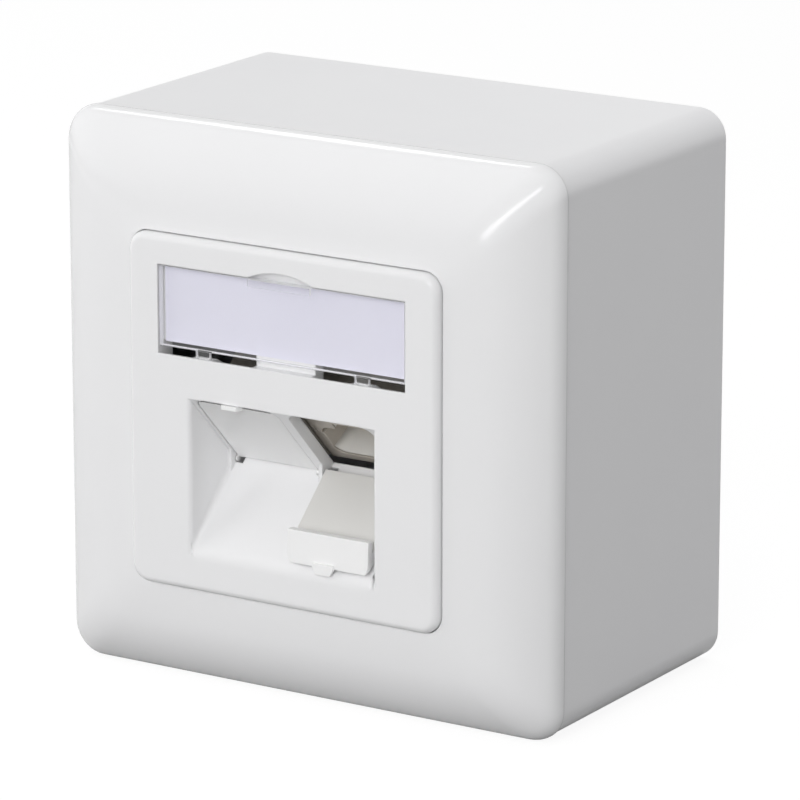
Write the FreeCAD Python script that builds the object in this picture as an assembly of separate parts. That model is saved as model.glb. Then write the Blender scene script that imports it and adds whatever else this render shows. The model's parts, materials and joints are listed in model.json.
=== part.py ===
import FreeCAD, Part
import math
import os

# Surface-mounted data outlet with two sockets behind dust flaps, facing down at an angle.
# Millimetres. X runs to the right as seen from the front, -Y points out of the wall, Z is up.
# The origin is the middle of the back face, which lies on the wall.

# Rear box
box_step = 0.2
box_depth = 43.5
box_corner_r = 4.2
box_wall = 2.2
back_wall = 2.5
wall_hole_spacing = 54.0
wall_hole_r = 2.2
cable_hole_r = 10.0
cable_hole_drop = 18.0
knockout_r = 8.0
knockout_groove = 0.8
knockout_depth = 1.2
pillar_r = 3.75
pillar_spacing = 60.0
pilot_depth = 14.0

# Cover frame: a rounded shoulder, a gentle crown and a nearly flat band beside the plate
frame_size = 80.0
frame_corner_r = 4.5
frame_wall = 2.2
shoulder_r = 4.0
shoulder_angle = 45.0
crown_angle = 8.0
flat_band = 4.9
skin_steps = 3
seam_gap = 0.1
seam_land = 0.5
well_wall = 1.6
ledge_width = 2.2
ledge_thickness = 1.4
spigot_length = 2.0
spigot_wall = 1.2
spigot_gap = 0.2

# Centre plate
plate_size = 50.2
plate_corner_r = 2.75
plate_edge_r = 1.0
plate_proud = 1.1
plate_face = 2.0
skirt_wall = 1.6
skirt_length = 4.6

# Label window, card and their recess
label_width = 40.1
label_height = 12.6
label_margin = 4.2
label_recess = 1.5
label_floor = 2.0
label_rim = 1.2
window_thickness = 1.05
window_edge_r = 0.35
window_sink = 0.1
window_gap = 0.15
hinge_strip = 1.05
strip_lip = 0.4
strip_draft = 30.0
card_thickness = 0.3
card_gap = 0.5
lug_spacing = 25.8
lug_width = 2.3
lug_r = 0.45
neck_half = 0.3
tongue_width = 9.6
notch_width = 10.4
notch_height = 1.1
lip_height = 1.2
lip_proud = 0.4

# Port recess and flaps
port_width = 13.5
port_divider = 1.6
port_margin = 0.6
port_tilt = 45.0
port_wall = 1.8
port_corner_r = 1.8
opening_height = 21.7
opening_web = 5.8
recess_wall = 1.6
ramp_wall = 1.8
brow_wall = 1.6
sill_r = 3.0
ramp_edge_r = 0.7
opening_edge_r = 0.6
flap_thickness = 1.3
flap_gap = 0.2
flap_top_gap = 0.35
flap_lip = 4.7
flap_lip_thickness = 1.2
flap_open_angle = 87.5
tab_width = 3.4
tab_length = 1.0
tab_thickness = 0.6
tab_taper = 0.5
tab_shift = -0.6
tab_gap = 0.05
ear_r = 1.0
ear_width = 1.0
pin_r = 0.5
pin_length = 0.7
pin_gap = 0.06
hinge_slot_width = 1.2
hinge_slot_reach = 0.75
gusset_reach = 1.65
gusset_rise = 1.55

# Sockets
jack_width = 14.6
jack_height = 10.2
jack_rise = 0.15
jack_setback = 2.7
jack_length = 20.4
shield_sheet = 0.3
cavity_width = 11.9
cavity_height = 6.8
cavity_sill = 1.3
cavity_depth = 13.0
cavity_corner_r = 1.8
latch_width = 6.2
latch_height = 1.4
insert_gap = 0.05
clip_slot = 0.3
clip_width = 0.8
clip_length = 1.6
clip_inset = 0.3
spring_height = 3.6
spring_length = 4.5
spring_lean = 1.0
contact_count = 8
contact_pitch = 1.02
contact_wire = 0.4
contact_start = 4.2
contact_foot = 1.2
contact_run = 6.0
contact_lift = 3.2

# Board and terminals
board_margin = 2.2
board_height = 21.0
board_drop = 3.4
board_thickness = 1.6
block_margin = 0.3
block_height = 7.0
block_depth = 9.4
block_spacing = 9.5
slot_pitch = 4.4
slot_width = 0.9
slot_depth = 7.0
blade_thickness = 0.5
blade_width = 4.0
blade_depth = 5.2
blade_root = 1.7
blade_mouth = 0.5
cover_depth = 12.4
cover_sheet = 0.6
cover_inset = 0.6
cover_mouth = 9.0
cover_mouth_height = 7.0
cover_lug = 3.0

# Carrier
carrier_width = 56.0
carrier_height = 48.0
carrier_thickness = 1.6
carrier_setback = 1.9
carrier_corner_r = 4.0
carrier_window_gap = 0.8
ear_reach = 5.0
ear_height = 15.0
post_r = 3.0
post_rise = 9.0
post_spacing = 26.0
cheek_wall = 1.6
foot_height = 7.0
foot_reach = 7.5

# Screws
screw_r = 1.5
screw_gap = 0.05
head_r = 2.7
head_height = 1.8
head_edge_r = 0.7
head_gap = 0.3
drive_width = 0.7
drive_length = 3.2
drive_depth = 0.9
device_screw_length = 13.0
plate_screw_length = 9.0
board_screw_r = 1.2
board_screw_length = 4.4

# Places that follow from the sizes above
rim_y = -box_depth
frame_half = frame_size / 2
box_half = frame_half - box_step
box_inner = box_half - box_wall
plate_half = plate_size / 2
well_half = plate_half + seam_gap
band = frame_half - well_half
tilt = math.radians(port_tilt)

shoulder = math.radians(shoulder_angle)
crown = math.radians(crown_angle)
shoulder_run = shoulder_r * (1 - math.sin(shoulder))
flat_run = flat_band * math.cos(crown) + seam_land
crown_r = (band - shoulder_run - flat_run) / (math.sin(shoulder) - math.sin(crown))
crown_drop = (crown_r - shoulder_r) * math.cos(shoulder)
seam_height = crown_r * math.cos(crown) - crown_drop + flat_band * math.sin(crown)

seam_y = rim_y - seam_height
face_y = seam_y - plate_proud
skirt_y = face_y + skirt_length

label_top = plate_half - label_margin
label_bottom = label_top - label_height
label_floor_y = face_y + label_recess
label_back_y = label_floor_y + label_floor

opening_width = 2 * (port_width + port_margin) + port_divider
opening_top = label_bottom - opening_web
face_run = opening_height * math.cos(tilt)
ramp_run = opening_height * math.sin(tilt)
recess_depth = face_run * math.sin(tilt)
deep_y = face_y + recess_depth
deep_z = opening_top - face_run * math.cos(tilt)
port_x = (port_width + port_divider) / 2

jack_top = jack_rise + jack_height
board_v = jack_setback + jack_length
board_back_v = board_v + board_thickness
carrier_front_y = rim_y + carrier_setback
carrier_back_y = carrier_front_y + carrier_thickness
window_half = opening_width / 2 + recess_wall + carrier_window_gap
foot_x = window_half + foot_reach / 2
board_half = foot_x + head_r + board_margin
block_half = foot_x - head_r - block_margin
post_x = post_spacing / 2
post_z = label_bottom + post_rise
pillar_x = pillar_spacing / 2


def vec(x, y, z):
    return FreeCAD.Vector(x, y, z)


def block(x0, x1, y0, y1, z0, z1):
    return Part.makeBox(x1 - x0, y1 - y0, z1 - z0, vec(x0, y0, z0))


def rod_y(x, z, r, y0, y1):
    return Part.makeCylinder(r, y1 - y0, vec(x, y0, z), vec(0, 1, 0))


def rod_x(y, z, r, x0, x1):
    return Part.makeCylinder(r, x1 - x0, vec(x0, y, z), vec(1, 0, 0))


def rounded_wire(x0, x1, z0, z1, r, y):
    """A rectangle with rounded corners, in the plane y."""
    diag = r * math.sqrt(0.5)
    corners = [(x1 - r, z1 - r, 1, 1), (x0 + r, z1 - r, -1, 1)]
    corners += [(x0 + r, z0 + r, -1, -1), (x1 - r, z0 + r, 1, -1)]
    arcs = []
    for cx, cz, sx, sz in corners:
        side = vec(cx + sx * r, y, cz)
        end = vec(cx, y, cz + sz * r)
        middle = vec(cx + sx * diag, y, cz + sz * diag)
        if sx * sz > 0:
            arcs.append((side, middle, end))
        else:
            arcs.append((end, middle, side))
    edges = []
    for i, arc in enumerate(arcs):
        edges.append(Part.Arc(*arc).toShape())
        edges.append(Part.LineSegment(arc[2], arcs[(i + 1) % 4][0]).toShape())
    return Part.Wire(edges)


def rounded_block(x0, x1, y0, y1, z0, z1, r):
    wire = rounded_wire(x0, x1, z0, z1, r, y0)
    return Part.Face(wire).extrude(vec(0, y1 - y0, 0))


def square_block(half, y0, y1, r):
    return rounded_block(-half, half, y0, y1, -half, half, r)


def profile_x(points, x0, x1):
    """A polygon of (y, z) points, carried along X."""
    corners = [vec(x0, y, z) for y, z in points]
    wire = Part.makePolygon(corners + corners[:1])
    return Part.Face(wire).extrude(vec(x1 - x0, 0, 0))


def in_port(shape):
    """Moves a shape from port axes (y behind the port face, z up along it) to its tilted place."""
    placed = shape.copy()
    placed.rotate(vec(0, 0, 0), vec(1, 0, 0), port_tilt)
    placed.translate(vec(0, deep_y, deep_z))
    return placed


def port_point(behind, along):
    """The (y, z) place of a point behind the port face and along it from the deep line."""
    y = deep_y + behind * math.cos(tilt) - along * math.sin(tilt)
    z = deep_z + behind * math.sin(tilt) + along * math.cos(tilt)
    return (y, z)


def screw(r, length):
    """A pan-head screw along +Y with its seat at the origin."""
    head = Part.makeCylinder(head_r, head_height, vec(0, -head_height, 0), vec(0, 1, 0))
    top_edges = [edge for edge in head.Edges if abs(edge.CenterOfMass.y + head_height) < 1e-6]
    head = head.makeFillet(head_edge_r, top_edges)
    body = head.fuse(Part.makeCylinder(r, length, vec(0, 0, 0), vec(0, 1, 0)))
    for across, high in ((drive_length, drive_width), (drive_width, drive_length)):
        cut = block(-across / 2, across / 2, -head_height, drive_depth - head_height, -high / 2, high / 2)
        body = body.cut(cut)
    return body


def surface_box():
    body = square_block(box_half, rim_y, 0, box_corner_r)
    body = body.cut(square_block(box_inner, rim_y, -back_wall, box_corner_r - box_wall))
    for side in (-1, 1):
        pillar = rod_y(side * pillar_x, 0, pillar_r, carrier_back_y, -back_wall / 2)
        pilot = rod_y(side * pillar_x, 0, screw_r + screw_gap, carrier_back_y, carrier_back_y + pilot_depth)
        body = body.fuse(pillar).cut(pilot)
        for level in (-1, 1):
            reach = wall_hole_spacing / 2
            body = body.cut(rod_y(side * reach, level * reach, wall_hole_r, -back_wall, 0))
    body = body.cut(rod_y(0, -cable_hole_drop, cable_hole_r, -back_wall, 0))
    foot = vec(0, rim_y / 2, -box_half)
    ring = Part.makeCylinder(knockout_r, knockout_depth, foot)
    core = Part.makeCylinder(knockout_r - knockout_groove, knockout_depth, foot)
    return body.cut(ring.cut(core))


def skin_stations(inset):
    """Points across the frame's band, (inward, high), on its skin or inset from it."""
    stations = []
    r = shoulder_r - inset
    for i in range(skin_steps):
        phi = math.pi / 2 + (shoulder - math.pi / 2) * i / skin_steps
        stations.append((shoulder_r - r * math.sin(phi), r * math.cos(phi)))
    centre_in = shoulder_r + (crown_r - shoulder_r) * math.sin(shoulder)
    r = crown_r - inset
    for i in range(skin_steps + 1):
        phi = shoulder + (crown - shoulder) * i / skin_steps
        stations.append((centre_in - r * math.sin(phi), r * math.cos(phi) - crown_drop))
    return stations


def cover_frame():
    well_r = plate_corner_r + seam_gap
    wires = []
    for inward, high in skin_stations(0) + [(band - seam_land, seam_height)]:
        half = frame_half - inward
        r = frame_corner_r + (well_r - frame_corner_r) * inward / band
        wires.append(rounded_wire(-half, half, -half, half, r, rim_y - high))
    shoulder_part = Part.makeLoft(wires[:skin_steps + 1], True, False)
    crown_part = Part.makeLoft(wires[skin_steps:-1], True, False)
    body = shoulder_part.fuse([crown_part, Part.makeLoft(wires[-2:], True, True)])
    for inward, high in skin_stations(frame_wall)[1:]:
        body = body.cut(square_block(frame_half - inward, rim_y - high, rim_y, box_corner_r - box_wall))
    ledge_y = skirt_y + ledge_thickness
    tube_y = seam_y + frame_wall / 2
    body = body.fuse(square_block(well_half + well_wall, tube_y, ledge_y, well_r + well_wall))
    body = body.cut(square_block(well_half, seam_y, skirt_y, well_r))
    body = body.cut(square_block(plate_half - ledge_width, skirt_y, ledge_y, well_r))
    spigot_half = box_inner - spigot_gap
    spigot_r = box_corner_r - box_wall
    top_y, foot_y = rim_y - spigot_wall, rim_y + spigot_length
    ring = square_block(spigot_half, top_y, foot_y, spigot_r)
    ring = ring.fuse(square_block(frame_half - frame_wall, top_y, rim_y, box_corner_r))
    return body.fuse(ring.cut(square_block(spigot_half - spigot_wall, top_y, foot_y, spigot_r)))


def recess_prism(x0, x1):
    """The recess between two places: port face, ramp and the rounded sill where the ramp meets the front."""
    bend = (math.pi / 2 - tilt) / 2
    reach = sill_r * math.tan(bend)
    sill_z = opening_top - opening_height
    start = vec(x0, face_y + reach * math.cos(tilt), sill_z + reach * math.sin(tilt))
    end = vec(x0, face_y, sill_z - reach)
    centre = end + vec(0, sill_r, 0)
    way = vec(x0, face_y, sill_z) - centre
    middle = centre + way * (sill_r / way.Length)
    top = vec(x0, face_y, opening_top)
    deep = vec(x0, deep_y, deep_z)
    front_top = vec(x0, face_y - plate_proud, opening_top)
    front_low = vec(x0, face_y - plate_proud, sill_z - reach)
    edges = [Part.LineSegment(top, deep).toShape(), Part.LineSegment(deep, start).toShape()]
    edges.append(Part.Arc(start, middle, end).toShape())
    for a, b in ((end, front_low), (front_low, front_top), (front_top, top)):
        edges.append(Part.LineSegment(a, b).toShape())
    return Part.Face(Part.Wire(edges)).extrude(vec(x1 - x0, 0, 0))


def recess_cut():
    """The port recess, rounded between its side walls and the ramp and along its upright front edges."""
    half = opening_width / 2
    cut = recess_prism(-half, half)
    ramp_edges = []
    for edge in cut.Edges:
        middle, span = edge.CenterOfMass, edge.BoundBox
        if span.XLength < opening_edge_r and middle.y > face_y and middle.z < deep_z:
            ramp_edges.append(edge)
    cut = cut.makeFillet(ramp_edge_r, ramp_edges)
    for side in (-1, 1):
        across = sorted((side * half, side * (half + opening_edge_r)))
        low = opening_top - opening_height - sill_r
        bar = block(*across, face_y - plate_proud, face_y + opening_edge_r, low, opening_top)
        axis = vec(side * (half + opening_edge_r), face_y + opening_edge_r, low)
        bar = bar.cut(Part.makeCylinder(opening_edge_r, opening_top - low, axis))
        cut = cut.fuse(bar.common(recess_prism(*across)))
    return cut


def port_outline(x, half):
    """A port's rounded outline in port axes, long enough to pass through the face and the flap's lip."""
    behind = flap_lip + port_wall
    return rounded_block(x - half, x + half, -port_wall, behind, -port_wall, face_run, port_corner_r)


def port_hole(x):
    """The opening through the port face at x, with a level roof and twice as deep as the wall."""
    half = port_width / 2
    through = 2 * port_wall
    back_y = face_y + through / math.cos(tilt)
    roof = [(face_y, opening_top), port_point(0, 0), port_point(through, 0), (back_y, opening_top)]
    return profile_x(roof, x - half, x + half).common(in_port(port_outline(x, half)))


def port_housing():
    half = opening_width / 2 + recess_wall
    top = opening_top + brow_wall
    climb = (top - deep_z - port_wall * math.sin(tilt)) / math.cos(tilt)
    brow = port_point(port_wall, climb)
    keel = port_point(port_wall, -ramp_wall)
    toe = port_point(-ramp_run, -ramp_wall)
    inside_y = face_y + plate_face / 2
    return profile_x([(inside_y, top), brow, keel, toe, (inside_y, toe[1])], -half, half)


def centre_plate():
    body = square_block(plate_half, face_y, skirt_y, plate_corner_r)
    rim = [edge for edge in body.Edges if abs(edge.CenterOfMass.y - face_y) < 1e-6]
    body = body.makeFillet(plate_edge_r, rim)
    inner_r = plate_corner_r - skirt_wall
    body = body.cut(square_block(plate_half - skirt_wall, face_y + plate_face, skirt_y, inner_r))
    wide = label_width / 2 + label_rim
    low, high = label_bottom - label_rim, label_top + label_rim
    body = body.fuse(block(-wide, wide, face_y + plate_face / 2, label_back_y, low, high))
    body = body.fuse(port_housing())
    boss_y = label_back_y + head_height
    for side in (-1, 1):
        body = body.fuse(rod_y(side * post_x, post_z, head_r + skirt_wall, label_floor_y, boss_y))
    body = body.cut(label_recess_cut())
    for side in (-1, 1):
        body = body.cut(rod_y(side * post_x, post_z, head_r + head_gap, label_floor_y, label_back_y))
        body = body.cut(rod_y(side * post_x, post_z, screw_r + screw_gap, label_back_y, boss_y))
    body = body.cut(recess_cut())
    for x in (-port_x, port_x):
        left = x - port_width / 2
        body = body.cut(port_hole(x)).fuse(hinge_gusset(left))
        right = left + hinge_slot_width
        body = body.cut(in_port(block(left, right, -hinge_slot_reach, ear_r, -ramp_wall, 0)))
        for end in (-1, 1):
            flap_end = x + end * (port_width / 2 - flap_gap)
            socket = sorted((flap_end, flap_end + end * (pin_length + pin_gap)))
            body = body.cut(rod_x(deep_y, deep_z, pin_r + pin_gap, *socket))
    return body.removeSplitter()


def hinge_gusset(left):
    """The bearing beside a port's left edge: a small gusset between the ramp and the port face."""
    front, top = deep_y - gusset_reach, deep_z + gusset_rise
    foot = (front, deep_z - gusset_reach * math.tan(tilt))
    back = (deep_y - gusset_rise * math.tan(tilt), top)
    return profile_x([(deep_y, deep_z), foot, (front, top), back], left - port_margin, left)


def label_recess_cut():
    """The label's place: recess, finger notch, hinge grooves and the slots under the window."""
    half = label_width / 2
    cut = block(-half, half, face_y, label_floor_y, label_bottom, label_top)
    notch_r = (notch_width ** 2 / 4 + notch_height ** 2) / (2 * notch_height)
    notch_top = label_top + notch_height
    notch = rod_y(0, notch_top - notch_r, notch_r, face_y, label_floor_y)
    finger = notch_width / 2
    cut = cut.fuse(notch.common(block(-finger, finger, face_y, label_floor_y, label_top, notch_top)))
    slot_top = label_bottom + hinge_strip + card_gap
    reach = lug_width / 2 + window_gap
    seat_y = window_axis_y() + lug_r + pin_gap
    for side in (-1, 1):
        slot = sorted((side * tongue_width / 2, side * half))
        cut = cut.fuse(block(*slot, label_floor_y, label_back_y, label_bottom, slot_top))
        lug = side * lug_spacing / 2
        groove = rod_x(window_axis_y(), label_bottom, lug_r + pin_gap, lug - reach, lug + reach)
        cut = cut.fuse(groove)
        seat = (lug - reach - strip_lip, lug + reach + strip_lip)
        cut = cut.fuse(strip_undercut(slot[0], seat[0], face_y))
        cut = cut.fuse(strip_undercut(*seat, seat_y))
        cut = cut.fuse(strip_undercut(seat[1], slot[1], face_y))
    return cut


def strip_undercut(x0, x1, start_y):
    """The slope under the window's slot that leaves only a thin edge behind start_y."""
    front = start_y + strip_lip
    low = label_bottom - (label_back_y - front) * math.tan(math.radians(strip_draft))
    return profile_x([(front, label_bottom), (label_back_y, label_bottom), (label_back_y, low)], x0, x1)


def window_axis_y():
    return face_y + window_sink + window_thickness / 2


def label_window():
    half = label_width / 2 - window_gap
    front_y = face_y + window_sink
    low = label_bottom + hinge_strip
    high = label_top - window_gap
    pane = block(-half, half, front_y, front_y + window_thickness, low, high)
    low_edges = [edge for edge in pane.Edges if abs(edge.CenterOfMass.z - low) < 1e-6]
    pane = pane.makeFillet(window_edge_r, [edge for edge in low_edges if edge.Length > half])
    lip = notch_width / 2 - window_gap
    pane = pane.fuse(block(-lip, lip, front_y - lip_proud, front_y, label_top - lip_height, high))
    y = window_axis_y()
    for side in (-1, 1):
        x0 = side * lug_spacing / 2 - lug_width / 2
        x1 = x0 + lug_width
        pane = pane.fuse(rod_x(y, label_bottom, lug_r, x0, x1))
        pane = pane.fuse(block(x0, x1, y - neck_half, y + neck_half, label_bottom, low + lug_r))
    return pane


def label_card():
    half = label_width / 2 - card_gap
    low = label_bottom + hinge_strip + card_gap
    return block(-half, half, label_floor_y - card_thickness, label_floor_y, low, label_top - card_gap)


def dust_flap(x):
    """A closed flap: plate, lip, finger tab and the two quarter-round ears that carry the hinge pins."""
    half = port_width / 2 - flap_gap
    top = opening_top - flap_top_gap
    front = flap_gap / 2
    front_rise = (top - deep_z - front * math.sin(tilt)) / math.cos(tilt)
    corner = port_point(front, front_rise)
    inner = front + flap_thickness
    inner_rise = (top - flap_lip_thickness - deep_z - inner * math.sin(tilt)) / math.cos(tilt)
    lip_y = corner[0] + flap_lip
    outline = [port_point(front, flap_gap), corner, (lip_y, top), (lip_y, top - flap_lip_thickness)]
    outline += [port_point(inner, inner_rise), port_point(inner, flap_gap)]
    flap = profile_x(outline, x - half, x + half).common(in_port(port_outline(x, half)))
    flap = flap.fuse(finger_tab(x, corner[0]))
    for end in (-1, 1):
        flap_end = x + end * half
        ear = sorted((flap_end - end * ear_width, flap_end))
        quarter = block(*ear, front, ear_r, front, ear_r)
        flap = flap.fuse(in_port(quarter.common(rod_x(0, 0, ear_r, *ear))))
        pin = sorted((flap_end, flap_end + end * pin_length))
        flap = flap.fuse(rod_x(deep_y, deep_z, pin_r, *pin))
    return flap.removeSplitter()


def finger_tab(x, edge_y):
    """The tapered tab on a closed flap's top edge."""
    root, grip = edge_y + tab_thickness, tab_width / 2
    tip = grip - tab_taper
    low = opening_top - tab_gap - tab_thickness
    outline = [(-grip, root), (grip, root), (grip, edge_y), (tip, edge_y - tab_length)]
    outline += [(-tip, edge_y - tab_length), (-grip, edge_y)]
    corners = [vec(x + tab_shift + across, y, low) for across, y in outline]
    return Part.Face(Part.makePolygon(corners + corners[:1])).extrude(vec(0, 0, tab_thickness))


def open_flap(flap):
    opened = flap.copy()
    opened.rotate(vec(0, deep_y, deep_z), vec(1, 0, 0), flap_open_angle)
    return opened


def cavity(x, y0, y1, grow):
    """The plug cavity with its latch notch, in port axes."""
    half = cavity_width / 2 + grow
    low = jack_rise + cavity_sill - grow
    high = jack_rise + cavity_sill + cavity_height + grow
    hollow = rounded_block(x - half, x + half, y0, y1, low, high, cavity_corner_r)
    latch = latch_width / 2 + grow
    return hollow.fuse(block(x - latch, x + latch, y0, y1, high - cavity_corner_r, high + latch_height))


def jack_shield(x):
    half = jack_width / 2
    y0 = jack_setback
    shell = block(x - half, x + half, y0, board_v, jack_rise, jack_top)
    inner = half - shield_sheet
    low, high = jack_rise + shield_sheet, jack_top - shield_sheet
    shell = shell.cut(block(x - inner, x + inner, y0 + shield_sheet, board_v, low, high))
    shell = shell.cut(cavity(x, y0, y0 + shield_sheet, 0))
    for side in (-1, 1):
        shell = shell.cut(clip_cut(x, side, y0))
    mid = jack_rise + cavity_sill + cavity_height / 2
    for side in (-1, 1):
        root = x + side * (cavity_width / 2 + shield_sheet)
        tip = x + side * (cavity_width / 2 - spring_lean)
        leaf = [(root, y0), (tip, y0 + spring_length), (tip - side * shield_sheet, y0 + spring_length),
                (root - side * 2 * shield_sheet, y0)]
        corners = [vec(lx, ly, mid - spring_height / 2) for lx, ly in leaf]
        spring = Part.Face(Part.makePolygon(corners + corners[:1])).extrude(vec(0, 0, spring_height))
        shell = shell.fuse(spring)
    return in_port(shell.removeSplitter())


def clip_cut(x, side, y0):
    """The L-shaped cut beside the cavity that frees a small clip, in port axes."""
    root = x + side * (jack_width / 2 - clip_inset)
    low = jack_rise + cavity_sill + cavity_height - clip_length
    across = sorted((root, root - side * clip_width))
    upright = sorted((root, root - side * clip_slot))
    level = block(*across, y0, y0 + shield_sheet, low, low + clip_slot)
    return level.fuse(block(*upright, y0, y0 + shield_sheet, low, low + clip_length))


def jack_insert(x):
    half = jack_width / 2 - shield_sheet - insert_gap
    y0 = jack_setback + shield_sheet + insert_gap
    low = jack_rise + shield_sheet + insert_gap
    high = jack_top - shield_sheet - insert_gap
    body = block(x - half, x + half, y0, board_v, low, high)
    body = body.cut(cavity(x, y0, y0 + cavity_depth, 0))
    mid = jack_rise + cavity_sill + cavity_height / 2
    room = spring_height / 2 + shield_sheet
    deep = jack_setback + spring_length + shield_sheet
    return in_port(body.cut(block(x - half, x + half, y0, deep, mid - room, mid + room)))


def jack_contacts(x):
    """Eight bent wires that stand on the cavity floor."""
    floor = jack_rise + cavity_sill
    start = jack_setback + contact_start
    foot = start + contact_foot
    slope = contact_lift / contact_run
    wires = []
    for i in range(contact_count):
        left = x + (i - (contact_count - 1) / 2) * contact_pitch - contact_wire / 2
        side = [(start, floor), (foot, floor), (foot + contact_run, floor + contact_lift),
                (foot + contact_run, floor + contact_lift + contact_wire),
                (foot - contact_wire * slope, floor + contact_wire), (start, floor + contact_wire)]
        wires.append(in_port(profile_x(side, left, left + contact_wire)))
    return Part.makeCompound(wires)


def circuit_board():
    half = board_half
    low = -board_drop + jack_rise
    board = block(-half, half, board_v, board_back_v, low, low + board_height)
    mid = low + board_height / 2
    for side in (-1, 1):
        board = board.cut(rod_y(side * foot_x, mid, board_screw_r + screw_gap, board_v, board_back_v))
        lug = sorted((side * (half - cover_inset - insert_gap), side * half))
        reach = cover_lug / 2 + insert_gap
        board = board.cut(block(*lug, board_v, board_back_v, mid - reach, mid + reach))
    return in_port(board)


def block_level(row):
    """The middle of a terminal block: row -1 is the lower one, row 1 the upper one."""
    return -board_drop + jack_rise + board_height / 2 + row * block_spacing / 2


def terminal_block(row):
    level = block_level(row)
    low, high = level - block_height / 2, level + block_height / 2
    top = board_back_v + block_depth
    body = block(-block_half, block_half, board_back_v, top, low, high)
    for x in slot_places():
        body = body.cut(block(x - slot_width / 2, x + slot_width / 2, top - slot_depth, top, low, high))
    return in_port(body)


def slot_places():
    return [(i - (contact_count - 1) / 2) * slot_pitch for i in range(contact_count)]


def terminal_blades(row):
    level = block_level(row)
    bottom = board_back_v + block_depth - slot_depth
    blades = []
    for x in slot_places():
        half = blade_thickness / 2
        reach, gape = blade_width / 2, blade_mouth / 2
        tip = bottom + blade_depth
        blade = block(x - half, x + half, bottom, tip, level - reach, level + reach)
        notch = block(x - half, x + half, bottom + blade_root, tip, level - gape, level + gape)
        blades.append(in_port(blade.cut(notch)))
    return Part.makeCompound(blades)


def shield_cover():
    half = board_half
    low = -board_drop + jack_rise
    high = low + board_height
    mid = (low + high) / 2
    outer = block(-half, half, board_back_v, board_back_v + cover_depth, low, high)
    inner = half - cover_sheet
    floor = board_back_v + cover_depth - cover_sheet
    body = outer.cut(block(-inner, inner, board_back_v, floor, low + cover_sheet, high - cover_sheet))
    for side in (-1, 1):
        mouth0 = side * half / 2 - cover_mouth / 2
        mouth1 = mouth0 + cover_mouth
        mouth_top = board_back_v + cover_mouth_height
        body = body.cut(block(mouth0, mouth1, board_back_v, mouth_top, low, low + cover_sheet))
        lug = sorted((side * (half - cover_inset), side * half))
        reach = cover_lug / 2
        body = body.fuse(block(*lug, board_v, board_back_v + cover_sheet, mid - reach, mid + reach))
    return in_port(body.removeSplitter())


def carrier():
    wide, high = carrier_width / 2, carrier_height / 2
    front, back = carrier_front_y, carrier_back_y
    body = rounded_block(-wide, wide, front, back, -high, high, carrier_corner_r)
    ear = ear_height / 2
    reach = pillar_x + ear_reach
    body = body.fuse(rounded_block(-reach, reach, front, back, -ear, ear, carrier_corner_r))
    keel = port_point(port_wall, -ramp_wall)
    behind = (back - deep_y + jack_top * math.sin(tilt)) / math.cos(tilt)
    window_top = port_point(behind, jack_top)[1] + carrier_window_gap
    window_low = keel[1] - (keel[0] - front) * math.tan(tilt) - carrier_window_gap
    body = body.cut(block(-window_half, window_half, front, back, window_low, window_top))
    boss_y = label_back_y + head_height
    hole = screw_r + screw_gap
    board_mid = -board_drop + jack_rise + board_height / 2
    for side in (-1, 1):
        body = body.cut(rod_y(side * pillar_x, 0, hole, front, back))
        body = body.fuse(rod_y(side * post_x, post_z, post_r, boss_y, front))
        body = body.cut(rod_y(side * post_x, post_z, hole, boss_y, back))
        cheek = sorted((side * window_half, side * (window_half + cheek_wall)))
        foot_low, foot_high = board_mid - foot_height / 2, board_mid + foot_height / 2
        arm = [(front, 0), (front, window_top)]
        arm += [port_point(board_v, foot_high), port_point(board_v, foot_low)]
        body = body.fuse(profile_x(arm, *cheek))
        foot = sorted((side * window_half, side * (window_half + foot_reach)))
        pad = block(*foot, board_v - cheek_wall, board_v, foot_low, foot_high)
        drill = rod_y(side * foot_x, board_mid, board_screw_r + screw_gap, board_v - cheek_wall, board_v)
        body = body.fuse(in_port(pad.cut(drill)))
    return body.removeSplitter()


def device_screws():
    screws = []
    for side in (-1, 1):
        one = screw(screw_r, device_screw_length)
        one.translate(vec(side * pillar_x, carrier_front_y, 0))
        screws.append(one)
    return Part.makeCompound(screws)


def plate_screws():
    screws = []
    for side in (-1, 1):
        one = screw(screw_r, plate_screw_length)
        one.translate(vec(side * post_x, label_back_y, post_z))
        screws.append(one)
    return Part.makeCompound(screws)


def board_screws():
    screws = []
    mid = -board_drop + jack_rise + board_height / 2
    for side in (-1, 1):
        one = screw(board_screw_r, board_screw_length)
        one.rotate(vec(0, 0, 0), vec(1, 0, 0), 180)
        one.translate(vec(side * foot_x, board_back_v, mid))
        screws.append(in_port(one))
    return Part.makeCompound(screws)


parts = {
    "surface_box": surface_box(),
    "cover_frame": cover_frame(),
    "centre_plate": centre_plate(),
    "label_window": label_window(),
    "label_card": label_card(),
    "left_dust_flap": dust_flap(-port_x),
    "right_dust_flap": open_flap(dust_flap(port_x)),
    "circuit_board": circuit_board(),
    "shield_cover": shield_cover(),
    "carrier": carrier(),
    "device_screws": device_screws(),
    "plate_screws": plate_screws(),
    "board_screws": board_screws(),
}
for name, x, row in (("left", -port_x, -1), ("right", port_x, 1)):
    parts[name + "_jack_shield"] = jack_shield(x)
    parts[name + "_jack_insert"] = jack_insert(x)
    parts[name + "_jack_contacts"] = jack_contacts(x)
    parts[name + "_terminal_block"] = terminal_block(row)
    parts[name + "_terminal_blades"] = terminal_blades(row)

os.makedirs("parts", exist_ok=True)
for node, shape in parts.items():
    shape.exportStep("parts/" + node + ".step")
    print(node, len(shape.Solids), "solids", round(shape.Volume, 1), "mm3", shape.isValid())
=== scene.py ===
import json
import math

import bpy
from mathutils import Matrix, Quaternion, Vector

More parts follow.
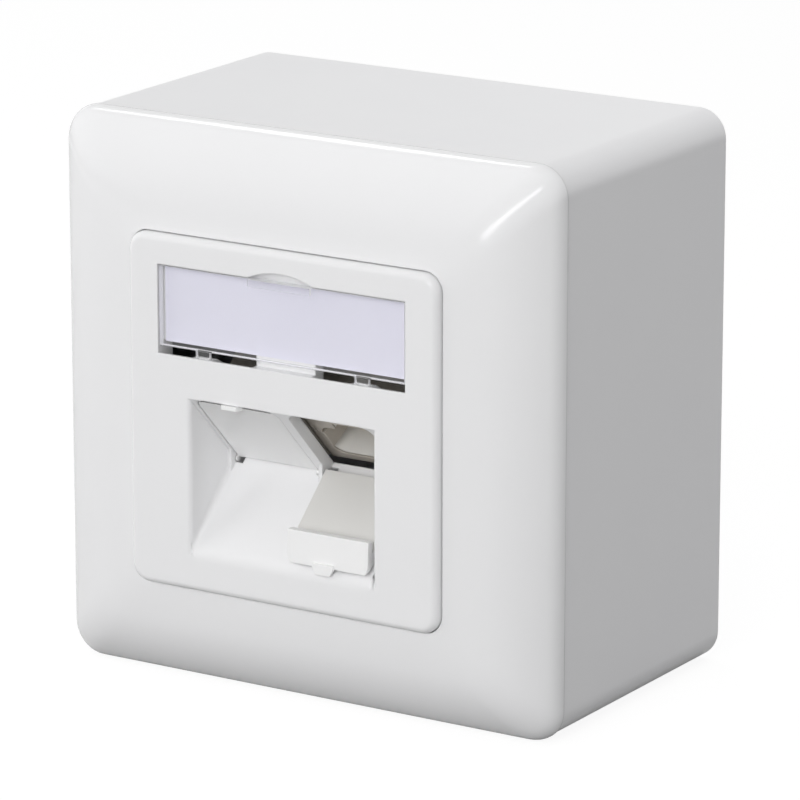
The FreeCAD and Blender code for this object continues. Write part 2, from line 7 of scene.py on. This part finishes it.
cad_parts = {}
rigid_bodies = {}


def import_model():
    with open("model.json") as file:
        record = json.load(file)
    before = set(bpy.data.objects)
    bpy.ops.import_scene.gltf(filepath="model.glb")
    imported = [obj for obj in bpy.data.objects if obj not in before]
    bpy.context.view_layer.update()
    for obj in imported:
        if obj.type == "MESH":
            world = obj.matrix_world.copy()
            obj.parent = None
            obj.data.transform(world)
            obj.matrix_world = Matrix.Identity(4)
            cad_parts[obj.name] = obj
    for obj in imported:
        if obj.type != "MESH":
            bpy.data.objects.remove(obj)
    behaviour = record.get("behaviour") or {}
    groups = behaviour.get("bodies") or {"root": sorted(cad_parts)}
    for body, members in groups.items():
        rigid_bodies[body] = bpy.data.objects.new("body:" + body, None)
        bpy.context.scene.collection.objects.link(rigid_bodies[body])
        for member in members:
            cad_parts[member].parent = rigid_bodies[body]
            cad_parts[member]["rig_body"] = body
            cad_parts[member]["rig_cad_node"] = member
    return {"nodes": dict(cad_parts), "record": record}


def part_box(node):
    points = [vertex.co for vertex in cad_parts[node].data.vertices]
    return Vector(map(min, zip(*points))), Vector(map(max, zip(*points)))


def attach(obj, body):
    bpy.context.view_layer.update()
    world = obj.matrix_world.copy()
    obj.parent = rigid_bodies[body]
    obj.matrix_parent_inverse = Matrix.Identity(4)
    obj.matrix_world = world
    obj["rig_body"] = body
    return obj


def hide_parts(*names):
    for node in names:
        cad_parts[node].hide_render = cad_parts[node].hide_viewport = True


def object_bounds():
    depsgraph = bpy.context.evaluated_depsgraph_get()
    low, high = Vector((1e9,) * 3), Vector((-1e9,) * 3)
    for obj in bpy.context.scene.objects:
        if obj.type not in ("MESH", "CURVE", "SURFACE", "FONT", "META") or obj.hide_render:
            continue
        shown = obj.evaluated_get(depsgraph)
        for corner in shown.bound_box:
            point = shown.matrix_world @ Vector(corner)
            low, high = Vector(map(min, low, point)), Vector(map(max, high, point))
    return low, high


# Surface-mounted data outlet with two sockets behind dust flaps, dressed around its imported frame.
# Metres throughout; sizes below are written in millimetres and multiplied by mm.
mm = 0.001

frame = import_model()
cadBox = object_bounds()
bpy.ops.object.select_all(action="DESELECT")
print("frame loaded with", len(frame["nodes"]), "nodes")


def linearColour(hexText):
    channels = [int(hexText[i:i + 2], 16) / 255 for i in (0, 2, 4)]
    return [c / 12.92 if c <= 0.04045 else ((c + 0.055) / 1.055) ** 2.4 for c in channels] + [1.0]


def addNode(tree, kind, settings=None, links=None):
    node = tree.nodes.new(kind)
    for name, value in (settings or {}).items():
        if name in node.inputs:
            node.inputs[name].default_value = value
        else:
            setattr(node, name, value)
    for name, source in (links or {}).items():
        tree.links.new(source, node.inputs[name])
    return node


def newMaterial(name):
    material = bpy.data.materials.new(name)
    material.use_nodes = True
    tree = material.node_tree
    tree.nodes.clear()
    output = addNode(tree, "ShaderNodeOutputMaterial")
    place = addNode(tree, "ShaderNodeTexCoord").outputs["Object"]
    return material, tree, output, place


# Plain finishes: two close tones that drift over the piece, a gloss that drifts too, and a fine relief.
# driftSize, glossSize and grainSize are the patterns' real sizes; grainHeight is the relief's height.
# edgeRound is the radius that the tool leaves on every edge, where no rounded mesh shows it.
finishes = {
    # ABS, injection moulded in a polished tool: even white with a wet gloss and a trace of orange peel
    "glossAbsWhite": dict(tones=("ededee", "efeff0"), gloss=(0.12, 0.17), ior=1.54, metal=0.0, edgeRound=0.3,
                          driftSize=18, glossSize=5, grainSize=0.9, grainHeight=0.0012),
    # the same ABS on the box, whose tool is a little less polished
    "satinAbsWhite": dict(tones=("ebebed", "eeeeef"), gloss=(0.26, 0.34), ior=1.54, metal=0.0,
                          driftSize=22, glossSize=6, grainSize=0.7, grainHeight=0.0025),
    # polypropylene flap: softer gloss than ABS; its inner side, which faces up when open, is painted a darker
    # warm grey as shade
    "polypropyleneWhite": dict(tones=("f4f4f4", "f6f6f6"), gloss=(0.3, 0.38), ior=1.49, metal=0.0,
                               paintedShadeTone="d9d8d5", upperRise=0.72, riseSpread=0.2,
                               driftSize=8, glossSize=3, grainSize=0.4, grainHeight=0.002),
    # plain label card: uncoated, pale lavender, with paper fibre at twice its real width, so that it shows
    "lavenderCard": dict(tones=("e3e2f0", "e6e5f2"), gloss=(0.75, 0.85), ior=1.45, metal=0.0,
                         driftSize=6, glossSize=2, grainSize=0.25, grainHeight=0.006),
    # polyamide socket body: matt, a warm white
    "nylonIvory": dict(tones=("eae8e3", "eeece8"), gloss=(0.42, 0.55), ior=1.53, metal=0.0,
                       driftSize=4, glossSize=2, grainSize=0.3, grainHeight=0.004),
    # tinned spring steel sheet: dull warm grey with faint rolling clouds, so matt that it scatters like paint
    "tinnedSheet": dict(tones=("bab3aa", "c8c2b9"), gloss=(0.4, 0.52), ior=1.5, metal=0.45,
                        driftSize=3, glossSize=1.2, grainSize=0.25, grainHeight=0.003),
    # die-cast zinc: matt grey with a pebbled casting skin
    "castZinc": dict(tones=("9a9b9e", "adaeb1"), gloss=(0.45, 0.6), ior=1.5, metal=1.0,
                     driftSize=7, glossSize=2, grainSize=0.5, grainHeight=0.02),
    # glass-fibre laminate under green solder lacquer
    "boardLacquer": dict(tones=("1c4a30", "215637"), gloss=(0.25, 0.38), ior=1.52, metal=0.0,
                         driftSize=5, glossSize=2, grainSize=0.35, grainHeight=0.006),
    # polyester terminal block: ivory, spark-eroded tool texture
    "polyesterIvory": dict(tones=("cfcbbf", "d6d2c7"), gloss=(0.45, 0.58), ior=1.57, metal=0.0,
                           driftSize=6, glossSize=2, grainSize=0.3, grainHeight=0.01),
    # gold flash over nickel on spring wire
    "goldWire": dict(tones=("d9b45c", "e6c473"), gloss=(0.16, 0.24), ior=1.5, metal=1.0,
                     driftSize=2, glossSize=1, grainSize=0.15, grainHeight=0.001),
    # tinned phosphor bronze blades
    "bronzeBlade": dict(tones=("b09a78", "c2ad8c"), gloss=(0.26, 0.36), ior=1.5, metal=1.0,
                        driftSize=2, glossSize=1, grainSize=0.2, grainHeight=0.002),
    # zinc-plated steel screws: bright, slightly blue
    "zincPlate": dict(tones=("a9acb0", "bcc0c5"), gloss=(0.24, 0.36), ior=1.5, metal=1.0,
                      driftSize=2, glossSize=1, grainSize=0.2, grainHeight=0.002),
}
noiseDetail = dict(drift=2.0, cloud=3.0, grain=2.0)
edgeSamples = 6
colourA, colourB, colourOut = 6, 7, 2  # the mix node's colour sockets


def plainFinish(name, spec):
    material, tree, output, place = newMaterial(name)
    sizes = {key: 1 / (spec[key] * mm) for key in ("driftSize", "glossSize", "grainSize")}
    drift = addNode(tree, "ShaderNodeTexNoise", {"Scale": sizes["driftSize"], "Detail": noiseDetail["drift"]},
                    {"Vector": place})
    tone = addNode(tree, "ShaderNodeMix", {"data_type": "RGBA"}, {"Factor": drift.outputs["Fac"]})
    tone.inputs[colourA].default_value = linearColour(spec["tones"][0])
    tone.inputs[colourB].default_value = linearColour(spec["tones"][1])
    colour = tone.outputs[colourOut]
    # faces that point up in the piece's own frame are given a darker warm grey: painted shade on the upward
    # side
    if "paintedShadeTone" in spec:
        facing = addNode(tree, "ShaderNodeSeparateXYZ", None, {"Vector": place.node.outputs["Normal"]})
        upper = addNode(tree, "ShaderNodeMath", {"operation": "COMPARE"})
        upper.inputs[1].default_value = spec["upperRise"]
        upper.inputs[2].default_value = spec["riseSpread"]
        tree.links.new(facing.outputs["Z"], upper.inputs[0])
        tone = addNode(tree, "ShaderNodeMix", {"data_type": "RGBA"}, {"Factor": upper.outputs[0]})
        tree.links.new(colour, tone.inputs[colourA])
        tone.inputs[colourB].default_value = linearColour(spec["paintedShadeTone"])
        colour = tone.outputs[colourOut]
    cloud = addNode(tree, "ShaderNodeTexNoise", {"Scale": sizes["glossSize"], "Detail": noiseDetail["cloud"]},
                    {"Vector": place})
    gloss = addNode(tree, "ShaderNodeMapRange", {"To Min": spec["gloss"][0], "To Max": spec["gloss"][1]},
                    {"Value": cloud.outputs["Fac"]})
    grain = addNode(tree, "ShaderNodeTexNoise", {"Scale": sizes["grainSize"], "Detail": noiseDetail["grain"]},
                    {"Vector": place})
    relief = addNode(tree, "ShaderNodeBump", {"Strength": 1.0, "Distance": spec["grainHeight"] * mm},
                     {"Height": grain.outputs["Fac"]})
    if "edgeRound" in spec:
        soft = addNode(tree, "ShaderNodeBevel", {"Radius": spec["edgeRound"] * mm, "samples": edgeSamples})
        tree.links.new(soft.outputs["Normal"], relief.inputs["Normal"])
    shader = addNode(tree, "ShaderNodeBsdfPrincipled", {"IOR": spec["ior"], "Metallic": spec["metal"]}, {
        "Base Color": colour, "Roughness": gloss.outputs["Result"], "Normal": relief.outputs["Normal"]})
    tree.links.new(shader.outputs["BSDF"], output.inputs["Surface"])
    return material


# Moulded polycarbonate: clear through its faces; at its edges, where the faces turn sideways, it becomes
# nearly opaque white, a painted highlight for the light its edges gather. edgeTurn and faceTurn bound the
# change, as the share of the surface's direction that points to the front or the back.
clearWindowFinish = dict(tone="fbfbfd", roughness=0.04, ior=1.58, alpha=0.05, edgeHighlightAlpha=0.95, edgeTurn=0.5,
                         faceTurn=0.8)


def clearFinish(name, spec):
    material, tree, output, place = newMaterial(name)
    facing = addNode(tree, "ShaderNodeSeparateXYZ", None, {"Vector": place.node.outputs["Normal"]})
    flat = addNode(tree, "ShaderNodeMath", {"operation": "ABSOLUTE"})
    tree.links.new(facing.outputs["Y"], flat.inputs[0])
    # faces turned away from the front and back are made nearly opaque white: painted highlight on the edges
    share = addNode(tree, "ShaderNodeMapRange", {
        "From Min": spec["edgeTurn"], "From Max": spec["faceTurn"],
        "To Min": spec["edgeHighlightAlpha"], "To Max": spec["alpha"]}, {"Value": flat.outputs[0]})
    shader = addNode(tree, "ShaderNodeBsdfPrincipled", {
        "Base Color": linearColour(spec["tone"]), "Roughness": spec["roughness"], "IOR": spec["ior"]},
        {"Alpha": share.outputs["Result"]})
    tree.links.new(shader.outputs["BSDF"], output.inputs["Surface"])
    return material


materials = {name: plainFinish(name, spec) for name, spec in finishes.items()}
materials["clearPolycarbonate"] = clearFinish("clearPolycarbonate", clearWindowFinish)
print("finishes made:", len(materials))

# Which finish each node of the frame shows, by its slot in the record.
slotFinish = {
    "box_plastic": "satinAbsWhite", "cover_plastic": "glossAbsWhite", "flap_plastic": "polypropyleneWhite",
    "clear_window": "clearPolycarbonate", "label_paper": "lavenderCard", "insert_plastic": "nylonIvory",
    "tinned_sheet": "tinnedSheet", "die_cast_zinc": "castZinc", "board_laminate": "boardLacquer",
    "terminal_plastic": "polyesterIvory", "gold_contact": "goldWire", "blade_bronze": "bronzeBlade",
    "screw_steel": "zincPlate",
}
nodeSlot = {part["node"]: part["material_slot"] for part in frame["record"]["subparts"]}
nodeBody = {node: body for body, nodes in frame["record"]["behaviour"]["bodies"].items() for node in nodes}
for node, thing in frame["nodes"].items():
    thing.data.materials.clear()
    thing.data.materials.append(materials[slotFinish[nodeSlot[node]]])


def settle(piece, node, name):
    # the piece takes the node's place: name, finish, body and slot
    piece.name = name
    piece.data.name = name
    piece.data.materials.clear()
    piece.data.materials.append(materials[slotFinish[nodeSlot[node]]])
    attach(piece, nodeBody[node])
    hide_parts(node)
    return piece


def editMode(piece):
    bpy.ops.object.select_all(action="DESELECT")
    piece.select_set(True)
    bpy.context.view_layer.objects.active = piece
    bpy.ops.object.mode_set(mode="EDIT")


# Moulded and folded pieces whose edges show: each gets its real edge rounding, in millimetres.
edgeRounds = {
    "surface_box": dict(name="surfaceBox", width=0.4, segments=3),
    "label_window": dict(name="labelWindow", width=0.12, segments=2),
    "left_dust_flap": dict(name="leftDustFlap", width=0.08, segments=3),
    "right_dust_flap": dict(name="rightDustFlap", width=0.08, segments=3),
    "left_jack_insert": dict(name="leftSocketBody", width=0.12, segments=2),
    "right_jack_insert": dict(name="rightSocketBody", width=0.12, segments=2),
    "left_jack_shield": dict(name="leftSocketShield", width=0.07, segments=2),
    "right_jack_shield": dict(name="rightSocketShield", width=0.07, segments=2),
}
sharpFrom = math.radians(28)
flatWithin = math.radians(0.3)
smoothWithin = math.radians(40)
weldWithin = 0.002


def roundedCopy(node, spec):
    bpy.ops.object.select_all(action="DESELECT")
    source = frame["nodes"][node]
    source.select_set(True)
    bpy.context.view_layer.objects.active = source
    bpy.ops.object.duplicate()
    piece = bpy.context.view_layer.objects.active
    piece.parent = None
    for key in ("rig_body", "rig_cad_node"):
        del piece[key]
    editMode(piece)
    bpy.ops.mesh.customdata_custom_splitnormals_clear()
    bpy.ops.mesh.select_all(action="SELECT")
    bpy.ops.mesh.remove_doubles(threshold=weldWithin * mm)
    bpy.ops.mesh.dissolve_limited(angle_limit=flatWithin)
    bpy.ops.mesh.select_all(action="DESELECT")
    bpy.ops.mesh.select_mode(type="EDGE")
    bpy.ops.mesh.edges_select_sharp(sharpness=sharpFrom)
    bpy.ops.mesh.bevel(offset=spec["width"] * mm, segments=spec["segments"], affect="EDGES",
                       clamp_overlap=False)
    bpy.ops.object.mode_set(mode="OBJECT")
    bpy.ops.object.shade_smooth_by_angle(angle=smoothWithin)
    bpy.ops.object.modifier_add(type="WEIGHTED_NORMAL")
    piece.modifiers[-1].keep_sharp = True
    bpy.ops.object.modifier_apply(modifier=piece.modifiers[-1].name)
    print(spec["name"], "edges rounded,", len(piece.data.polygons), "faces")
    return settle(piece, node, spec["name"])


for node, spec in edgeRounds.items():
    roundedCopy(node, spec)

# Cover frame: one closed profile carried round a rounded square, from the rim over the shoulder and crown to
# the plate's well, down the well to the ledge, and back under the skin.
coverFrame = dict(corner=4.5, shoulder=4.0, shoulderAngle=45, crownAngle=8, flatBand=4.9, land=0.5, wall=2.2,
                  well=25.2, wellDepth=3.5, wellWall=1.6, ledge=2.3, ledgeThickness=1.4, edge=0.15,
                  cornerSteps=10, shoulderSteps=8, crownSteps=10, edgeSteps=3)


def coverFrameProfile(spec, half, rim):
    shoulderTurn, crownTurn = math.radians(spec["shoulderAngle"]), math.radians(spec["crownAngle"])
    band = half - spec["well"]
    shoulderRun = spec["shoulder"] * (1 - math.sin(shoulderTurn))
    flatRun = spec["flatBand"] * math.cos(crownTurn) + spec["land"]
    crown = (band - shoulderRun - flatRun) / (math.sin(shoulderTurn) - math.sin(crownTurn))
    drop = (crown - spec["shoulder"]) * math.cos(shoulderTurn)
    centre = spec["shoulder"] + (crown - spec["shoulder"]) * math.sin(shoulderTurn)

    def skin(depth):
        points = []
        for step in range(spec["shoulderSteps"]):
            turn = math.pi / 2 + (shoulderTurn - math.pi / 2) * step / spec["shoulderSteps"]
            reach = spec["shoulder"] - depth
            points.append((half - spec["shoulder"] + reach * math.sin(turn), rim - reach * math.cos(turn)))
        for step in range(spec["crownSteps"] + 1):
            turn = shoulderTurn + (crownTurn - shoulderTurn) * step / spec["crownSteps"]
            reach = crown - depth
            points.append((half - centre + reach * math.sin(turn), rim + drop - reach * math.cos(turn)))
        return points

    outer = skin(0)
    seamY = outer[-1][1] - spec["flatBand"] * math.sin(crownTurn)
    points = outer + [(spec["well"] + spec["land"], seamY)]
    for step in range(spec["edgeSteps"] + 1):  # the seam's rounded edge
        turn = math.pi / 2 * step / spec["edgeSteps"]
        points.append((spec["well"] + spec["edge"] * (1 - math.sin(turn)),
                       seamY + spec["edge"] * (1 - math.cos(turn))))
    floorY = seamY + spec["wellDepth"]
    inner = spec["well"] - spec["ledge"]
    points += [(spec["well"], floorY), (inner, floorY), (inner, floorY + spec["ledgeThickness"])]
    points += [(spec["well"] + spec["wellWall"], floorY + spec["ledgeThickness"])]
    under = [p for p in reversed(skin(spec["wall"])) if p[0] > spec["well"] + spec["wellWall"]]
    points += [(spec["well"] + spec["wellWall"], under[0][1])] + under
    return points


def makeCoverFrame(node, spec):
    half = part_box(node)[1].x / mm
    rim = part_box("surface_box")[0].y / mm
    profile = coverFrameProfile(spec, half, rim)
    bpy.ops.object.select_all(action="DESELECT")
    bpy.ops.mesh.primitive_plane_add(size=2 * half * mm, rotation=(math.pi / 2, 0, 0),
                                     location=(0, rim * mm, 0))
    piece = bpy.context.view_layer.objects.active
    bpy.ops.object.transform_apply(location=True, rotation=True, scale=True)
    editMode(piece)
    bpy.ops.mesh.select_all(action="SELECT")
    bpy.ops.mesh.bevel(offset=spec["corner"] * mm, segments=spec["cornerSteps"], affect="VERTICES")
    bpy.ops.mesh.delete(type="ONLY_FACE")
    bpy.ops.mesh.select_all(action="SELECT")
    for (halfBefore, before), (halfNow, now) in zip(profile, profile[1:]):
        bpy.ops.mesh.extrude_edges_move(TRANSFORM_OT_translate={"value": (0, (now - before) * mm, 0)})
        ratio = halfNow / halfBefore
        bpy.ops.transform.resize(value=(ratio, 1, ratio), center_override=(0, 0, 0))
    bpy.ops.mesh.select_all(action="DESELECT")
    bpy.ops.mesh.select_non_manifold()
    bpy.ops.mesh.bridge_edge_loops()
    bpy.ops.mesh.select_all(action="SELECT")
    bpy.ops.mesh.normals_make_consistent(inside=False)
    bpy.ops.object.mode_set(mode="OBJECT")
    bpy.ops.object.shade_smooth_by_angle(angle=smoothWithin)
    print("coverFrame built,", len(piece.data.polygons), "faces")
    return settle(piece, node, "coverFrame")


makeCoverFrame("cover_frame", coverFrame)

# Camera: a long lens, turned to the right of the front and a little above it.
camera = dict(pivot=(0, -25, 0), azimuth=32.26, elevation=15.17, focal=5352, distance=749.8, across=-1.75,
              along=1.70, frameWidth=800, sensor=36, clip=(0.01, 20))


def makeCamera(spec):
    turn, lift = math.radians(spec["azimuth"]), math.radians(spec["elevation"])
    back = Vector((math.sin(turn) * math.cos(lift), -math.cos(turn) * math.cos(lift), math.sin(lift)))
    right = Vector((math.cos(turn), math.sin(turn), 0))
    up = back.cross(right)
    place = Vector(spec["pivot"]) + back * spec["distance"] - right * spec["across"] - up * spec["along"]
    bpy.ops.object.camera_add(location=place * mm)
    thing = bpy.context.view_layer.objects.active
    thing.rotation_mode = "QUATERNION"
    thing.rotation_quaternion = Matrix((right, up, back)).transposed().to_quaternion()
    thing.data.sensor_width = spec["sensor"]
    thing.data.lens = spec["focal"] / spec["frameWidth"] * spec["sensor"]
    thing.data.clip_start, thing.data.clip_end = spec["clip"]
    bpy.context.scene.camera = thing


makeCamera(camera)

# Studio: a rolled strip that draws the streak on the upper right corner, soft boxes around the part, a dim
# room that grades from left to right, and a white floor that keeps a faint shadow. Only mirrored boxes show
# in gloss.
softBoxes = [
    dict(name="streakBox", azimuth=4, elevation=18.6, distance=1000, size=(80, 940), roll=-45, radiance=6.6,
         mirrored=True),
    dict(name="topBox", azimuth=-122, elevation=52, distance=1000, size=(220, 220), roll=0, radiance=4.6,
         mirrored=True),
    dict(name="frontBox", azimuth=11, elevation=20, distance=1200, size=(1000, 1000), roll=0, radiance=1.8,
         mirrored=False),
    dict(name="leftBox", azimuth=-68, elevation=8, distance=700, size=(700, 500), roll=0, radiance=2.3,
         mirrored=False),
    dict(name="overheadBox", azimuth=120, elevation=62, distance=280, size=(150, 150), roll=0, radiance=1.9,
         mirrored=False),
    dict(name="rightBox", azimuth=62, elevation=4, distance=900, size=(500, 500), roll=0, radiance=1.8,
         mirrored=False),
]
room = dict(tone="ffffff", leftStrength=0.43, rightStrength=0.3)
floor = dict(size=6000, shadowShare=0.15, glow=1.06, bounceTone="7a7a7a")


def makeSoftBox(spec):
    turn, lift = math.radians(spec["azimuth"]), math.radians(spec["elevation"])
    way = Vector((math.sin(turn) * math.cos(lift), -math.cos(turn) * math.cos(lift), math.sin(lift)))
    bpy.ops.object.light_add(type="AREA", location=way * spec["distance"] * mm)
    lamp = bpy.context.view_layer.objects.active
    lamp.name = spec["name"]
    lamp.data.shape = "RECTANGLE"
    lamp.data.size, lamp.data.size_y = [side * mm for side in spec["size"]]
    lamp.data.energy = spec["radiance"] * math.pi * lamp.data.size * lamp.data.size_y
    lamp.visible_glossy = spec["mirrored"]
    lamp.rotation_mode = "QUATERNION"
    roll = Quaternion((0, 0, 1), math.radians(spec["roll"]))
    lamp.rotation_quaternion = way.to_track_quat("Z", "Y") @ roll


def seenDirectly(tree):
    # true for what the camera sees itself, in a reflection or through glass
    path = addNode(tree, "ShaderNodeLightPath")
    seen = addNode(tree, "ShaderNodeMath", {"operation": "MAXIMUM"})
    tree.links.new(path.outputs["Is Camera Ray"], seen.inputs[0])
    tree.links.new(path.outputs["Is Glossy Ray"], seen.inputs[1])
    either = addNode(tree, "ShaderNodeMath", {"operation": "MAXIMUM"})
    tree.links.new(seen.outputs[0], either.inputs[0])
    tree.links.new(path.outputs["Is Transmission Ray"], either.inputs[1])
    return either.outputs[0]


def makeRoom(spec):
    world = bpy.data.worlds.new("studioRoom")
    world.use_nodes = True
    tree = world.node_tree
    tree.nodes.clear()
    place = addNode(tree, "ShaderNodeTexCoord").outputs["Generated"]
    way = addNode(tree, "ShaderNodeSeparateXYZ", None, {"Vector": place})
    side = addNode(tree, "ShaderNodeMapRange", {
        "From Min": -1.0, "From Max": 1.0,
        "To Min": spec["leftStrength"], "To Max": spec["rightStrength"]}, {"Value": way.outputs["X"]})
    dim = addNode(tree, "ShaderNodeBackground", {"Color": linearColour(spec["tone"])},
                  {"Strength": side.outputs["Result"]})
    white = addNode(tree, "ShaderNodeBackground", {"Color": linearColour("ffffff"), "Strength": 1.0})
    mix = addNode(tree, "ShaderNodeMixShader", None, {"Fac": seenDirectly(tree)})
    tree.links.new(dim.outputs[0], mix.inputs[1])
    tree.links.new(white.outputs[0], mix.inputs[2])
    addNode(tree, "ShaderNodeOutputWorld", None, {"Surface": mix.outputs[0]})
    bpy.context.scene.world = world


def makeFloor(spec):
    bpy.ops.object.select_all(action="DESELECT")
    bpy.ops.mesh.primitive_plane_add(size=spec["size"] * mm, location=(0, 0, cadBox[0].z))
    plane = bpy.context.view_layer.objects.active
    plane.name = "studioFloor"
    material, tree, output = newMaterial("whiteFloor")[:3]
    white = addNode(tree, "ShaderNodeBsdfDiffuse", {"Color": linearColour("ffffff")})
    glow = addNode(tree, "ShaderNodeEmission", {"Color": linearColour("ffffff"), "Strength": spec["glow"]})
    share = addNode(tree, "ShaderNodeMath", {"operation": "MAXIMUM"})
    share.inputs[1].default_value = spec["shadowShare"]
    tree.links.new(addNode(tree, "ShaderNodeLightPath").outputs["Is Glossy Ray"], share.inputs[0])
    seen = addNode(tree, "ShaderNodeMixShader", None, {"Fac": share.outputs[0]})
    tree.links.new(glow.outputs[0], seen.inputs[1])
    tree.links.new(white.outputs[0], seen.inputs[2])
    bounce = addNode(tree, "ShaderNodeBsdfDiffuse", {"Color": linearColour(spec["bounceTone"])})
    mix = addNode(tree, "ShaderNodeMixShader", None, {"Fac": seenDirectly(tree)})
    tree.links.new(bounce.outputs[0], mix.inputs[1])
    tree.links.new(seen.outputs[0], mix.inputs[2])
    tree.links.new(mix.outputs[0], output.inputs["Surface"])
    plane.data.materials.append(material)


for box in softBoxes:
    makeSoftBox(box)
makeRoom(room)
makeFloor(floor)
bpy.context.scene.view_settings.view_transform = "Standard"
print("studio lit by", len(softBoxes), "soft boxes")

bpy.ops.object.select_all(action="DESELECT")
